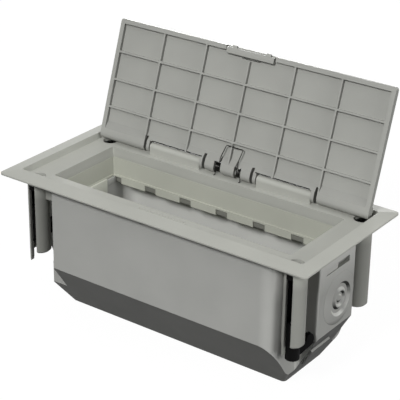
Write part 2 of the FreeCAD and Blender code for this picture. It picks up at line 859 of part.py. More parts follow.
def make_clamp_screw(x):
    y = tower_front_y
    head = rod(x, y, head_seat_level, head_seat_level + screw_head_height, screw_head_radius)
    top = head_seat_level + screw_head_height
    arm = drive_slot_half_length
    half = drive_slot_width / 2
    slot_x = block(x - arm, x + arm, y - half, y + half, top - drive_slot_depth, top + far)
    slot_y = block(x - half, x + half, y - arm, y + arm, top - drive_slot_depth, top + far)
    shank = rod(x, y, screw_end, head_seat_level, screw_radius)
    return head.cut(slot_x).cut(slot_y).fuse(shank)


def make_screw_retainer(x):
    # Square push nut that keeps the screw in its seat.
    top = seat_bottom - retainer_gap
    bottom = top - retainer_thickness
    half = retainer_half_width
    plate = block(x - half, x + half, tower_front_y - half, tower_front_y + half, bottom, top)
    return plate.cut(rod(x, tower_front_y, bottom - far, top + far, screw_radius + retainer_fit))


def make_threaded_insert(x, raise_by):
    # Threaded bush that bears up against the shoulder inside the claw's sleeve.
    bottom = insert_top - insert_length
    bush = rod(x, tower_front_y, bottom, insert_top, insert_radius)
    shape = bush.cut(rod(x, tower_front_y, bottom - far, insert_top + far, screw_radius + thread_fit))
    shape.translate(Vector(0, 0, raise_by))
    return shape


def make_clamp_claw(x, raise_by, park_deg):
    # Sleeve with a flat arm that rises from its foot to a round tip, which bites the worktop from below.
    half = claw_arm_thickness / 2
    foot = claw_bottom + claw_foot_height
    arm_top = claw_bottom + claw_arm_height
    sleeve = rod(0, 0, claw_bottom, claw_top, claw_hub_radius)
    profile = Part.makePolygon([
        Vector(0, -half, foot), Vector(claw_hub_radius, -half, foot),
        Vector(claw_reach, -half, claw_tip_bottom), Vector(claw_reach, -half, claw_tip_top),
        Vector(claw_tip_inner_radius, -half, claw_tip_top), Vector(claw_tip_inner_radius, -half, arm_top),
        Vector(0, -half, arm_top), Vector(0, -half, foot)])
    arm = Part.Face(profile).extrude(Vector(0, claw_arm_thickness, 0))
    tip_edges = [
        edge for edge in arm.Edges
        if abs(edge.BoundBox.ZMin - claw_tip_top) < far / 2 and edge.BoundBox.YLength > half]
    arm = arm.makeFillet(claw_tip_round, tip_edges)
    shoulder = claw_top - insert_shoulder
    screw_room = rod(0, 0, claw_bottom - far, claw_top + far, claw_bore_radius)
    bush_room = rod(0, 0, claw_bottom - far, shoulder, insert_radius + claw_fit)
    shape = sleeve.fuse(arm).cut(screw_room).cut(bush_room).removeSplitter()
    shape.rotate(Vector(0, 0, 0), Vector(0, 0, 1), park_deg)
    shape.translate(Vector(x, tower_front_y, raise_by))
    return shape


def save(name, shape):
    assert len(shape.Solids) == 1, name + " has " + str(len(shape.Solids)) + " solids"
    assert shape.isValid(), name + " is not valid"
    solid = shape.Solids[0].copy()
    solid.translate(Vector(0, -body_offset, -tub_bottom_level))
    solid.exportStep("parts/" + name + ".step")


def main():
    os.makedirs("parts", exist_ok=True)
    save("top_frame", make_top_frame())
    save("tub", make_tub())
    save("module_frame", make_module_frame())
    save("lid_panel", make_lid_panel())
    save("lid_spring", make_lid_spring())
    save("latch_bar", make_latch_bar())
    save("latch_thumb_pad", make_latch_thumb_pad())
    # The rear corners are the front ones turned by half a turn.
    corners = [
        ("front_left", "rear_right", -tower_x, claw_raise, raised_claw_park_deg),
        ("front_right", "rear_left", tower_x, 0.0, claw_park_deg)]
    for front, rear, x, raise_by, park_deg in corners:
        pieces = {
            "clamp_screw_": make_clamp_screw(x),
            "screw_retainer_": make_screw_retainer(x),
            "threaded_insert_": make_threaded_insert(x, raise_by),
            "clamp_claw_": make_clamp_claw(x, raise_by, park_deg)}
        for name, shape in pieces.items():
            save(name + front, shape)
            save(name + rear, half_turn(shape))


main()
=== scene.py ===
import bpy
import math
from mathutils import Matrix, Vector


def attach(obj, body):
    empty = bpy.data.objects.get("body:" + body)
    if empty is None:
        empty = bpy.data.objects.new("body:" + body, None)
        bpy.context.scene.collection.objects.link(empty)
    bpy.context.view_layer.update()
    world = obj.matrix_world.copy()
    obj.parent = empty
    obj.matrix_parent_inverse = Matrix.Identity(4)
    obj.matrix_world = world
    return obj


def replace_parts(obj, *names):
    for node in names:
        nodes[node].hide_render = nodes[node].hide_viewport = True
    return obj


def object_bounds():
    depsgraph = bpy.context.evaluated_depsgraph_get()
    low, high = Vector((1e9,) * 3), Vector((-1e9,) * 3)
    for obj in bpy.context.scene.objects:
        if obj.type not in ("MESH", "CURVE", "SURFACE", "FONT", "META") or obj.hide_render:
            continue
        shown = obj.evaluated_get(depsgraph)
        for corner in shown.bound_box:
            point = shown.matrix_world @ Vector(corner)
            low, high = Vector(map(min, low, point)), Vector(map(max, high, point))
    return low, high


# Furniture socket box with its lid open, on a white sweep. Lengths are in metres.

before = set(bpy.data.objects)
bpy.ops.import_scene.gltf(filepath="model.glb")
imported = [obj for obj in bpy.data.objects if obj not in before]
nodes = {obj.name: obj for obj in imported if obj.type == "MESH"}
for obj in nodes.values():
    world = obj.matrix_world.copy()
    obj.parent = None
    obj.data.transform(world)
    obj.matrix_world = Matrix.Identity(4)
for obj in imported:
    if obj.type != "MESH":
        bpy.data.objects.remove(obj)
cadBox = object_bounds()
bpy.ops.object.select_all(action="DESELECT")
print("frame loaded:", len(nodes), "nodes")

# camera
cameraSetup = {
    "place": (0.37392, -0.51290, 0.37023),
    "yaw": 35.893,  # degrees round from the front
    "pitch": 25.340,  # degrees down
    "roll": 0.871,
    "lens": 131.10,  # mm
    "sensor": 36,  # mm
    "clipStart": 0.01,
}


def addCamera(setup):
    bpy.ops.object.camera_add(location=setup["place"])
    camera = bpy.context.object
    camera.name = "photoCamera"
    turn = Matrix.Rotation(math.radians(setup["yaw"]), 3, "Z")
    tilt = Matrix.Rotation(math.radians(90 - setup["pitch"]), 3, "X")
    roll = Matrix.Rotation(math.radians(setup["roll"]), 3, "Z")
    camera.rotation_euler = (turn @ tilt @ roll).to_euler()
    camera.data.sensor_width = setup["sensor"]
    camera.data.lens = setup["lens"]
    camera.data.clip_start = setup["clipStart"]
    bpy.context.scene.camera = camera


addCamera(cameraSetup)
print("camera placed")


# helpers for shader nodes
def grey(level):
    return (level, level, level, 1)


def feed(tree, value, socket):
    # an output is linked to the socket, a number or vector is set on it
    if isinstance(value, bpy.types.NodeSocket):
        tree.links.new(value, socket)
    else:
        socket.default_value = value


def partOf(tree, vector, axis):
    split = tree.nodes.new("ShaderNodeSeparateXYZ")
    tree.links.new(vector, split.inputs[0])
    return split.outputs[axis]


def mapped(tree, value, span, low, high=1):
    # low at the start of the span, high at its end
    step = tree.nodes.new("ShaderNodeMapRange")
    step.inputs["From Min"].default_value, step.inputs["From Max"].default_value = span
    feed(tree, low, step.inputs["To Min"])
    feed(tree, high, step.inputs["To Max"])
    tree.links.new(value, step.inputs["Value"])
    return step.outputs["Result"]


def vectorStep(tree, operation, vector, other):
    step = tree.nodes.new("ShaderNodeVectorMath")
    step.operation = operation
    tree.links.new(vector, step.inputs[0])
    feed(tree, other, step.inputs[1])
    return step


def colourRamp(tree, value, stops):
    ramp = tree.nodes.new("ShaderNodeValToRGB")
    elements = ramp.color_ramp.elements
    for number, (position, colour) in enumerate(stops):
        if number < 2:  # a new ramp has two stops
            elements[number].position = position
        else:
            elements.new(position)
        elements[number].color = colour
    tree.links.new(value, ramp.inputs[0])
    return ramp.outputs[0]


def backgroundRays(tree):
    # 1 for the rays that should see a plain white background
    rays = tree.nodes.new("ShaderNodeLightPath")
    picked = rays.outputs["Is Camera Ray"]
    for kind in ("Is Glossy Ray", "Is Transmission Ray"):
        join = tree.nodes.new("ShaderNodeMath")
        join.operation = "MAXIMUM"
        tree.links.new(picked, join.inputs[0])
        tree.links.new(rays.outputs[kind], join.inputs[1])
        picked = join.outputs[0]
    return picked


# lamps, sky and floor
lampSetup = {
    "keyLight": {"place": (0.160, -1.830, 1.45), "size": 0.5, "power": 40.0},
    "fillLight": {"place": (1.95, -0.10, 0.36), "size": 1.0, "power": 23.0},
    "backLight": {"place": (-1.10, 1.75, 0.24), "size": 0.44, "power": 25.0},
}
skySetup = ((0.40, 0.0), (0.50, 0.06), (0.80, 0.06), (1.0, 1.05))  # height, 1 is overhead, and brightness
floorSetup = {"size": 8.0, "level": -0.0002, "shade": 0.04, "glow": 0.97}


def addLamp(name, setup, aim):
    bpy.ops.object.light_add(type="AREA", location=setup["place"])
    lamp = bpy.context.object
    lamp.name = name
    lamp.data.shape = "DISK"
    lamp.data.size = setup["size"]
    lamp.data.energy = setup["power"]
    lamp.rotation_euler = (Vector(aim) - Vector(setup["place"])).to_track_quat("-Z", "Y").to_euler()


def addSky(stops):
    world = bpy.data.worlds.new("studioSky")
    bpy.context.scene.world = world
    world.use_nodes = True
    tree = world.node_tree
    tree.nodes.clear()
    coords = tree.nodes.new("ShaderNodeTexCoord")
    height = mapped(tree, partOf(tree, coords.outputs["Generated"], "Z"), (-1, 1), 0)
    sky = tree.nodes.new("ShaderNodeBackground")
    shades = [(position, grey(level)) for position, level in stops]
    tree.links.new(colourRamp(tree, height, shades), sky.inputs["Color"])
    white = tree.nodes.new("ShaderNodeBackground")
    white.inputs["Color"].default_value = grey(1)
    mix = tree.nodes.new("ShaderNodeMixShader")
    out = tree.nodes.new("ShaderNodeOutputWorld")
    tree.links.new(backgroundRays(tree), mix.inputs[0])
    tree.links.new(sky.outputs[0], mix.inputs[1])
    tree.links.new(white.outputs[0], mix.inputs[2])
    tree.links.new(mix.outputs[0], out.inputs["Surface"])


def addFloor(setup):
    bpy.ops.mesh.primitive_plane_add(size=setup["size"], location=(0, 0, setup["level"]))
    floor = bpy.context.object
    floor.name = "whiteFloor"
    material = bpy.data.materials.new("floorWhite")
    material.use_nodes = True
    tree = material.node_tree
    tree.nodes.clear()
    shade = tree.nodes.new("ShaderNodeBsdfDiffuse")
    shade.inputs["Color"].default_value = grey(setup["shade"])
    glow = tree.nodes.new("ShaderNodeEmission")
    glow.inputs["Color"].default_value = grey(setup["glow"])
    tree.links.new(backgroundRays(tree), glow.inputs["Strength"])
    both = tree.nodes.new("ShaderNodeAddShader")
    out = tree.nodes.new("ShaderNodeOutputMaterial")
    tree.links.new(shade.outputs[0], both.inputs[0])
    tree.links.new(glow.outputs[0], both.inputs[1])
    tree.links.new(both.outputs[0], out.inputs["Surface"])
    floor.data.materials.append(material)


boxMiddle = [(low + high) / 2 for low, high in zip(*cadBox)]
for lampName, lampValues in lampSetup.items():
    addLamp(lampName, lampValues, boxMiddle)
addSky(skySetup)
addFloor(floorSetup)
bpy.context.scene.view_settings.view_transform = "Standard"
print("studio lit")

# moulded finishes, some with painted light and shade: what they share, then each finish on its own
plasticDetail = {
    "cloudScale": 38, "cloudDetail": 4, "cloudStops": (0.35, 0.65),
    "polishScale": 140, "polishDetail": 3, "polishSpread": 0.07,
    "grainScale": 2600, "grainDetail": 2, "grainDepth": 0.0001,
    "edgeRadius": 0.0003, "edgeSamples": 4,
    "underSpan": (-0.36, -0.16),  # z of the normal, from a face that looks down to one that doesn't, for the painted shade
    "facingSpan": (0.10, 0.25),  # how far a normal may be off the wanted one
}
plasticLooks = {
    "framePlastic": {
        "colour": (0.415, 0.420, 0.385), "roughness": 0.52, "shine": 0.14,
        "mottle": 0.03, "grain": 0.06,
        "paintedTowerShade": 0.64, "lowSpan": (0.060, 0.068),  # painted shade: the towers drawn darker than the flange, as if in its shade
    },
    "lidPlastic": {
        "colour": (0.345, 0.348, 0.325), "roughness": 0.52, "shine": 0.14,
        "mottle": 0.03, "grain": 0.06,
        "paintedRampShade": 0.88, "rampFaces": (0, -0.730, 0.683),  # painted shade on the ramp along the hinge
        "paintedRibSideShade": 0.50, "sideFaces": (1, 0, 0),  # painted shade on the sides of the ribs
        "paintedLidEdgeShade": 0.76, "edgeSpan": (0.070, 0.075),  # painted shade on the lid's own edge, further out, lighter than on the ribs
    },
    "tubPlastic": {
        "colour": (0.415, 0.418, 0.398), "roughness": 0.50, "shine": 0.02,
        "mottle": 0.03, "grain": 0.05,
        "paintedUnderShade": 0.47,  # painted shade on faces that look down
        "insideTone": 1.35, "insideSpan": (-0.004, -0.002),  # painted light on the long walls inside the tub
        "insideEndTone": 0.90, "insideEndSpan": (-0.040, -0.020),  # painted shade on the end walls inside the tub
        "paintedEndShadeLow": 0.85, "paintedEndLightHigh": 1.30, "endSpan": (0.050, 0.064),  # painted light and shade on the end walls outside: darker low down, lighter high up
        "paintedEndSlopeShade": 0.28, "endFacing": (0.045, 0.060),  # painted shade on the slopes below the end walls
    },
    "modulePlastic": {
        "colour": (0.430, 0.438, 0.380), "roughness": 0.50, "shine": 0.14,
        "mottle": 0.03, "grain": 0.05,
    },
    # painted light: paler than the module frame, for the block that ends the bay
    "bayEndPaintedLight": {
        "colour": (0.60, 0.61, 0.54), "roughness": 0.50, "shine": 0.14,
        "mottle": 0.03, "grain": 0.05,
    },
    # painted shade: the dark back seen through the clip gaps
    "clipGapPaintedShade": {
        "colour": (0.190, 0.192, 0.170), "roughness": 0.50, "shine": 0.10,
        "mottle": 0.03, "grain": 0.05,
    },
    # black of the claws and retainers; also painted shade on the tower sleeves, slot strips and window gap
    # strips
    "clawBlackAndPaintedShade": {
        "colour": (0.004, 0.004, 0.004), "roughness": 0.65, "shine": 0.04,
        "mottle": 0.10, "grain": 0.10,
    },
}
plasticLooks["pressedPlastic"] = {  # the tub's finish with painted shade and painted highlights on the slopes of the knock-out rings
    **plasticLooks["tubPlastic"],
    "pressedFaces": (0, 0.6, 0.8),
    "paintedRingShade": 0.50, "darkSpan": (-0.27, -0.45),
    "paintedRingHighlight": 1.70, "paleSpan": (0.27, 0.45),
}
lengthways, crossways = (1, 0, 0), (0, 1, 0)


def startMaterial(name):
    material = bpy.data.materials.new(name)
    material.use_nodes = True
    tree = material.node_tree
    tree.nodes.clear()
    shader = tree.nodes.new("ShaderNodeBsdfPrincipled")
    out = tree.nodes.new("ShaderNodeOutputMaterial")
    tree.links.new(shader.outputs[0], out.inputs["Surface"])
    return material, tree, shader


def noiseOn(tree, coords, scale, detail):
    noise = tree.nodes.new("ShaderNodeTexNoise")
    noise.inputs["Scale"].default_value = scale
    noise.inputs["Detail"].default_value = detail
    tree.links.new(coords.outputs["Object"], noise.inputs["Vector"])
    return noise.outputs["Fac"]


def mottled(tree, value, look, mottle, stops):
    # the finish's colour, a little darker and paler from place to place
    return colourRamp(tree, value, [
        (position, [part * amount for part in look["colour"]] + [1])
        for position, amount in zip(stops, (1 - mottle, 1 + mottle))])


def scaledTone(tree, tone, amount):
    shade = tree.nodes.new("ShaderNodeVectorMath")
    shade.operation = "SCALE"
    tree.links.new(tone, shade.inputs["Vector"])
    tree.links.new(amount, shade.inputs["Scale"])
    return shade.outputs["Vector"]


def lookingDown(tree, coords, shade):
    # painted shade on the faces that look down, 1 on the others
    return mapped(tree, partOf(tree, coords.outputs["Normal"], "Z"), plasticDetail["underSpan"], shade)


def facingAlong(tree, coords, axis):
    # plus where a face looks away from the middle along the axis, minus where it looks inwards
    flat = vectorStep(tree, "MULTIPLY", coords.outputs["Object"], axis).outputs["Vector"]
    return vectorStep(tree, "DOT_PRODUCT", flat, coords.outputs["Normal"]).outputs["Value"]


# painted shade on the faces that look along the given normal
def shadeFacing(tree, coords, tone, faces, shade):
    apart = vectorStep(tree, "DISTANCE", coords.outputs["Normal"], faces).outputs["Value"]
    return scaledTone(tree, tone, mapped(tree, apart, plasticDetail["facingSpan"], shade))


# painted shade on the towers: darker below the flange
def paintTowerShade(tree, coords, tone, look):
    height = partOf(tree, coords.outputs["Object"], "Z")
    return scaledTone(tree, tone, mapped(tree, height, look["lowSpan"], look["paintedTowerShade"]))


# painted light on the long walls inside the tub, painted shade on its end walls
def paintInsideLightAndShade(tree, coords, tone, look):
    for axis, wall in ((crossways, "inside"), (lengthways, "insideEnd")):
        inward = facingAlong(tree, coords, axis)
        tone = scaledTone(tree, tone, mapped(tree, inward, look[wall + "Span"], look[wall + "Tone"]))
    return tone


# painted light and shade on the outward end faces: darker low down, lighter high up, darker still on the
# slopes that look down
def paintEndLightAndShade(tree, coords, tone, look):
    height = partOf(tree, coords.outputs["Object"], "Z")
    both = tree.nodes.new("ShaderNodeMath")
    both.operation = "MULTIPLY"
    tree.links.new(mapped(tree, height, look["endSpan"], look["paintedEndShadeLow"], look["paintedEndLightHigh"]), both.inputs[0])
    tree.links.new(lookingDown(tree, coords, look["paintedEndSlopeShade"]), both.inputs[1])
    outward = facingAlong(tree, coords, lengthways)
    return scaledTone(tree, tone, mapped(tree, outward, look["endFacing"], 1, both.outputs["Value"]))


# painted shade and painted highlights on the ring slopes, by how they lean towards the light
def paintRingLightAndShade(tree, coords, tone, look):
    lean = vectorStep(tree, "DOT_PRODUCT", coords.outputs["Normal"], look["pressedFaces"]).outputs["Value"]
    for span, amount in (("darkSpan", "paintedRingShade"), ("paleSpan", "paintedRingHighlight")):
        tone = scaledTone(tree, tone, mapped(tree, lean, look[span], 1, look[amount]))
    return tone


# painted shade on the hinge ramp, the sides of the ribs and the lid's edge
def paintRibShade(tree, coords, tone, look):
    tone = shadeFacing(tree, coords, tone, look["rampFaces"], look["paintedRampShade"])
    across = partOf(tree, coords.outputs["Object"], "X")
    shade = mapped(tree, across, look["edgeSpan"], look["paintedRibSideShade"], look["paintedLidEdgeShade"])
    return shadeFacing(tree, coords, tone, look["sideFaces"], shade)


def mouldedPlastic(name, look):
    detail = plasticDetail
    material, tree, shader = startMaterial(name)
    coords = tree.nodes.new("ShaderNodeTexCoord")
    clouds = noiseOn(tree, coords, detail["cloudScale"], detail["cloudDetail"])
    tone = mottled(tree, clouds, look, look["mottle"], detail["cloudStops"])
    # painted light and shade, by the keys each finish has
    if "paintedTowerShade" in look:
        tone = paintTowerShade(tree, coords, tone, look)
    if "paintedUnderShade" in look:
        tone = scaledTone(tree, tone, lookingDown(tree, coords, look["paintedUnderShade"]))
        tone = paintInsideLightAndShade(tree, coords, tone, look)
        tone = paintEndLightAndShade(tree, coords, tone, look)
    if "pressedFaces" in look:
        tone = paintRingLightAndShade(tree, coords, tone, look)
    if "paintedRampShade" in look:
        tone = paintRibShade(tree, coords, tone, look)
    tree.links.new(tone, shader.inputs["Base Color"])
    polish = noiseOn(tree, coords, detail["polishScale"], detail["polishDetail"])
    low, high = look["roughness"] - detail["polishSpread"], look["roughness"] + detail["polishSpread"]
    tree.links.new(mapped(tree, polish, (0, 1), low, high), shader.inputs["Roughness"])
    shader.inputs["Specular IOR Level"].default_value = look["shine"]
    edge = tree.nodes.new("ShaderNodeBevel")
    edge.samples = detail["edgeSamples"]
    edge.inputs["Radius"].default_value = detail["edgeRadius"]
    bump = tree.nodes.new("ShaderNodeBump")
    bump.inputs["Strength"].default_value = look["grain"]
    bump.inputs["Distance"].default_value = detail["grainDepth"]
    grain = noiseOn(tree, coords, detail["grainScale"], detail["grainDetail"])
    tree.links.new(grain, bump.inputs["Height"])
    tree.links.new(edge.outputs[0], bump.inputs["Normal"])
    tree.links.new(bump.outputs[0], shader.inputs["Normal"])
    return material


# metal finishes
metalDetail = {"drawnScale": 900, "drawnDetail": 3, "mottle": 0.3, "stops": (0, 1)}
metalLooks = {
    "springWire": {"colour": (0.030, 0.030, 0.028), "roughness": 0.38},
    "blackScrew": {"colour": (0.02, 0.02, 0.02), "roughness": 0.35},
    "turnedBrass": {"colour": (0.60, 0.42, 0.16), "roughness": 0.30},
}


def drawnMetal(name, look):
    detail = metalDetail
    material, tree, shader = startMaterial(name)
    coords = tree.nodes.new("ShaderNodeTexCoord")
    drawn = noiseOn(tree, coords, detail["drawnScale"], detail["drawnDetail"])
    tree.links.new(mottled(tree, drawn, look, detail["mottle"], detail["stops"]), shader.inputs["Base Color"])
    shader.inputs["Metallic"].default_value = 1
    shader.inputs["Roughness"].default_value = look["roughness"]
    return material


nodeFinishes = {  # by how the node's name starts
    "top_frame": "framePlastic",
    "tub": "tubPlastic",
    "module_frame": "modulePlastic",
    "lid_panel": "lidPlastic",
    "latch": "lidPlastic",
    "lid_spring": "springWire",
    "clamp_screw": "blackScrew",
    "screw_retainer": "clawBlackAndPaintedShade",
    "threaded_insert": "turnedBrass",
    "clamp_claw": "clawBlackAndPaintedShade",
}
finishes = {name: mouldedPlastic(name, look) for name, look in plasticLooks.items()}
finishes.update({name: drawnMetal(name, look) for name, look in metalLooks.items()})
for nodeName, nodeObject in nodes.items():
    nodeObject.data.materials.clear()
    for start, finishName in nodeFinishes.items():
        if nodeName.startswith(start):
            nodeObject.data.materials.append(finishes[finishName])
print("finishes on:", ", ".join(sorted(finishes)))

# helpers for modelling
smoothAngle = math.radians(35)
hingeLine = {"y": 0.0286, "z": 0.0752, "openDeg": 108.1}
hingePlace = (0, hingeLine["y"], hingeLine["z"])
middle = (0, 0, 0)
straight, halfTurn = (0, 0, 0), (0, 0, math.pi)
alongLid = (math.radians(180 - hingeLine["openDeg"]), 0, 0)  # y goes up the open lid, z to its inner side


def startPiece():
    bpy.ops.object.select_all(action="DESELECT")


def openMesh(piece):
    bpy.context.view_layer.objects.active = piece
    bpy.ops.object.mode_set(mode="EDIT")
    bpy.ops.mesh.select_mode(type="VERT")
    bpy.ops.mesh.select_all(action="DESELECT")


def closeMesh():
    bpy.ops.object.mode_set(mode="OBJECT")


def pickFaces(piece, wanted):
    # leaves the faces that wanted() says yes to selected in edit mode
    closeMesh()
    openMesh(piece)
    bpy.ops.mesh.select_mode(type="FACE")
    closeMesh()
    for face in piece.data.polygons:
        face.select = wanted(face)
    bpy.ops.object.mode_set(mode="EDIT")


def faceOutwards():
    bpy.ops.mesh.select_all(action="SELECT")
    bpy.ops.mesh.normals_make_consistent(inside=False)


def useModifier(piece, kind, settings):
    modifier = piece.modifiers.new(kind.lower(), kind)
    for name, value in settings.items():
        setattr(modifier, name, value)
    bpy.context.view_layer.objects.active = piece
    bpy.ops.object.modifier_apply(modifier=modifier.name)


def softenEdges(piece, width, segments):
    useModifier(piece, "BEVEL", {"width": width, "segments": segments, "limit_method": "ANGLE"})


def applyPlace():
    bpy.ops.object.transform_apply(location=True, rotation=True, scale=True)


def settle(piece, name, finish, body):
    # place goes into the mesh, then the piece gets its finish and rides on its body
    startPiece()
    piece.select_set(True)
    bpy.context.view_layer.objects.active = piece
    applyPlace()
    bpy.ops.object.shade_smooth_by_angle(angle=smoothAngle)
    piece.name = name
    piece.data.name = name
    piece.data.materials.clear()
    piece.data.materials.append(finishes[finish])
    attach(piece, body)
    return piece


def copyOf(model):
    startPiece()
    model.select_set(True)
    bpy.context.view_layer.objects.active = model
    bpy.ops.object.duplicate(linked=False)
    return bpy.context.object


def placeCopies(model, spots, finish, body):
    # each spot is a name, a place and a turn
    for name, place, turn in spots:
        piece = copyOf(model)
        piece.location = place
        piece.rotation_euler = turn
        settle(piece, name, finish, body)
    bpy.data.objects.remove(model)


def drawnProfile(points):
    # a small plane merged to one vertex and drawn out along the points, left open in edit mode
    startPiece()
    bpy.ops.mesh.primitive_plane_add(size=0.001, location=middle)
    piece = bpy.context.object
    openMesh(piece)
    bpy.ops.mesh.select_all(action="SELECT")
    bpy.ops.mesh.merge(type="CENTER")
    bpy.ops.transform.translate(value=points[0])
    for start, end in zip(points, points[1:]):
        step = tuple(b - a for a, b in zip(start, end))
        bpy.ops.mesh.extrude_vertices_move(TRANSFORM_OT_translate={"value": step})
    return piece


def blockBetween(low, high):
    startPiece()
    bpy.ops.mesh.primitive_cube_add(
        size=1, location=[(a + b) / 2 for a, b in zip(low, high)], scale=[b - a for a, b in zip(low, high)])
    applyPlace()
    return bpy.context.object


def openTube(look, depth, unwanted):
    # tube without ends, less the faces whose turn round from +x, in degrees, is unwanted
    startPiece()
    bpy.ops.mesh.primitive_cylinder_add(
        vertices=look["sides"], radius=look["radius"], depth=depth, end_fill_type="NOTHING")
    piece = bpy.context.object
    pickFaces(piece, lambda face: unwanted(math.degrees(math.atan2(face.center.y, face.center.x)) % 360))
    bpy.ops.mesh.delete(type="FACE")
    closeMesh()
    return piece


# lid spring: two coils on the hinge line, a loop up the lid and a short foot under each coil
springLook = {
    "wire": 0.00046,
    "wireSides": 10,
    "coilRadius": 0.00215,
    "turns": 4,
    "turnSteps": 24,
    "coilLeft": (-0.00490, -0.00745),  # x of its inner and outer end
    "coilRight": (0.00525, 0.00765),
    "footLevel": 0.07175,
    "footReach": 0.0010,
    "footBend": 0.0004,
    "loopBend": 0.0006,
    "bendSegments": 5,
    "rounding": 3,
    "loop": (  # x, up the lid and off the hinge line, mm
        (-4.75, 3.0, 3.24), (-4.83, 5.25, 3.28), (-2.76, 12.1, 3.28),
        (7.32, 12.1, 3.28), (5.98, 7.1, 3.28), (5.80, 3.0, 3.24)),
}
coilFront = hingeLine["y"] - springLook["coilRadius"]


def bentWire(points, bend, look):
    # a line along the points, corners rounded, then given the wire's thickness
    piece = drawnProfile(points)
    closeMesh()
    ends = {0, len(piece.data.vertices) - 1}
    for vertex in piece.data.vertices:
        vertex.select = vertex.index not in ends
    bpy.ops.object.mode_set(mode="EDIT")
    bpy.ops.mesh.select_mode(type="VERT")
    bpy.ops.mesh.bevel(offset=bend, offset_type="OFFSET", segments=look["bendSegments"], affect="VERTICES")
    closeMesh()
    bpy.ops.object.convert(target="CURVE")
    piece = bpy.context.object
    piece.data.dimensions = "3D"
    piece.data.bevel_depth = look["wire"] / 2
    piece.data.bevel_resolution = look["rounding"]
    piece.data.use_fill_caps = True
    bpy.ops.object.convert(target="MESH")
    return bpy.context.object


def upTheLid(x, along, off):
    # point on the open lid, from mm along and off the hinge line
    lean = math.radians(hingeLine["openDeg"])
    y = hingeLine["y"] * 1000 - along * math.cos(lean) - off * math.sin(lean)
    z = hingeLine["z"] * 1000 + along * math.sin(lean) - off * math.cos(lean)
    return (x / 1000, y / 1000, z / 1000)


def springCoil(name, ends, look):
    inner, outer = ends
    startPiece()
    bpy.ops.mesh.primitive_circle_add(vertices=look["wireSides"], radius=look["wire"] / 2)
    piece = bpy.context.object
    openMesh(piece)
    bpy.ops.mesh.select_all(action="SELECT")
    bpy.ops.transform.translate(value=(inner, -look["coilRadius"], 0))
    closeMesh()
    useModifier(piece, "SCREW", {
        "axis": "X", "angle": 2 * math.pi, "screw_offset": (outer - inner) / look["turns"],
        "iterations": look["turns"], "steps": look["turnSteps"], "render_steps": look["turnSteps"],
        "use_normal_calculate": True})
    openMesh(piece)
    bpy.ops.mesh.select_all(action="SELECT")
    bpy.ops.mesh.fill_holes(sides=look["wireSides"])
    faceOutwards()
    closeMesh()
    piece.location = hingePlace
    settle(piece, name, "springWire", "box")
    foot = bentWire([
        (outer, coilFront, hingeLine["z"]), (outer, coilFront, look["footLevel"]),
        (outer, coilFront - look["footReach"], look["footLevel"])], look["footBend"], look)
    settle(foot, name + "Foot", "springWire", "box")
    return [piece, foot]


def springLoop(name, look):
    points = [(look["coilLeft"][0], coilFront, hingeLine["z"])]
    points += [upTheLid(*point) for point in look["loop"]]
    points.append((look["coilRight"][0], coilFront, hingeLine["z"]))
    piece = bentWire(points, look["loopBend"], look)
    return settle(piece, name, "springWire", "lid")


springPieces = springCoil("springCoilLeft", springLook["coilLeft"], springLook)
springPieces += springCoil("springCoilRight", springLook["coilRight"], springLook)
loopPiece = springLoop("springLoop", springLook)
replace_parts(loopPiece, "lid_spring")
print("lid spring wound:", len(springPieces) + 1, "pieces")

# black sleeves that line the clamp towers, painted shade that keeps their slots dark
towerPlaces = {
    "front_left": (-0.076, -0.0281), "front_right": (0.076, -0.0281),
    "rear_left": (-0.076, 0.0281), "rear_right": (0.076, 0.0281),
}
sleeveLook = {
    "radius": 0.00366,
    "sides": 90,
    "wall": 0.00018,
    "top": 0.0648,
    "bottom": {"front_left": 0.0355, "front_right": 0.0318, "rear_left": 0.0318, "rear_right": 0.0285},
    "gaps": ((238, 302), (30, 100)),  # degrees round from +x, for the claw and at the back
}


def towerShadeSleeve(corner, look):
    low, high = look["bottom"][corner], look["top"]
    piece = openTube(look, high - low, lambda turn: any(a < turn < b for a, b in look["gaps"]))
    useModifier(piece, "SOLIDIFY", {"thickness": look["wall"], "offset": -1})
    x, y = towerPlaces[corner]
    piece.rotation_euler = halfTurn if y > 0 else straight
    piece.location = (x, y, (low + high) / 2)
    return settle(piece, "towerShadeSleeve_" + corner, "clawBlackAndPaintedShade", "box")


for corner in towerPlaces:
    towerShadeSleeve(corner, sleeveLook)
print("tower sleeves in:", len(towerPlaces))

# pressed rings of the knock-out in each end wall
knockoutLook = {
    "place": (0.0811, 0.0020, 0.0425),  # middle of the rings on the right end wall
    "profile": (  # radius and height off the wall, mm
        (0.0, 0.80), (1.2, 0.75), (2.1, 0.10), (2.9, 0.10), (3.9, 0.95), (4.4, 0.95), (5.6, 0.06),
        (7.3, 0.06), (8.6, 1.12), (8.9, 1.12), (13.2, 0.04), (13.2, -0.05), (0.0, -0.05)),
    "steps": 72,
    "mergeWithin": 0.000002,
}


def knockoutRings(look):
    piece = drawnProfile([(height / 1000, 0, radius / 1000) for radius, height in look["profile"]])
    bpy.ops.mesh.select_all(action="SELECT")
    bpy.ops.mesh.spin(
        steps=look["steps"], angle=2 * math.pi, center=middle, axis=lengthways, use_auto_merge=False)
    bpy.ops.mesh.select_all(action="SELECT")
    bpy.ops.mesh.remove_doubles(threshold=look["mergeWithin"])
    faceOutwards()
    closeMesh()
    return piece


ringX, ringY, ringZ = knockoutLook["place"]
placeCopies(knockoutRings(knockoutLook), (
    ("knockoutRingsRight", (ringX, ringY, ringZ), straight),
    ("knockoutRingsLeft", (-ringX, -ringY, ringZ), halfTurn)), "pressedPlastic", "box")
print("knock-out rings pressed")

# black strips that close the top of each tower's slot, painted shadow under the flange
slotShadowLook = {
    "radius": 0.00541,
    "sides": 180,
    "wall": 0.00006,
    "span": (251, 289),  # degrees round from +x
    "top": 0.0676,
    "bottom": 0.0652,
}


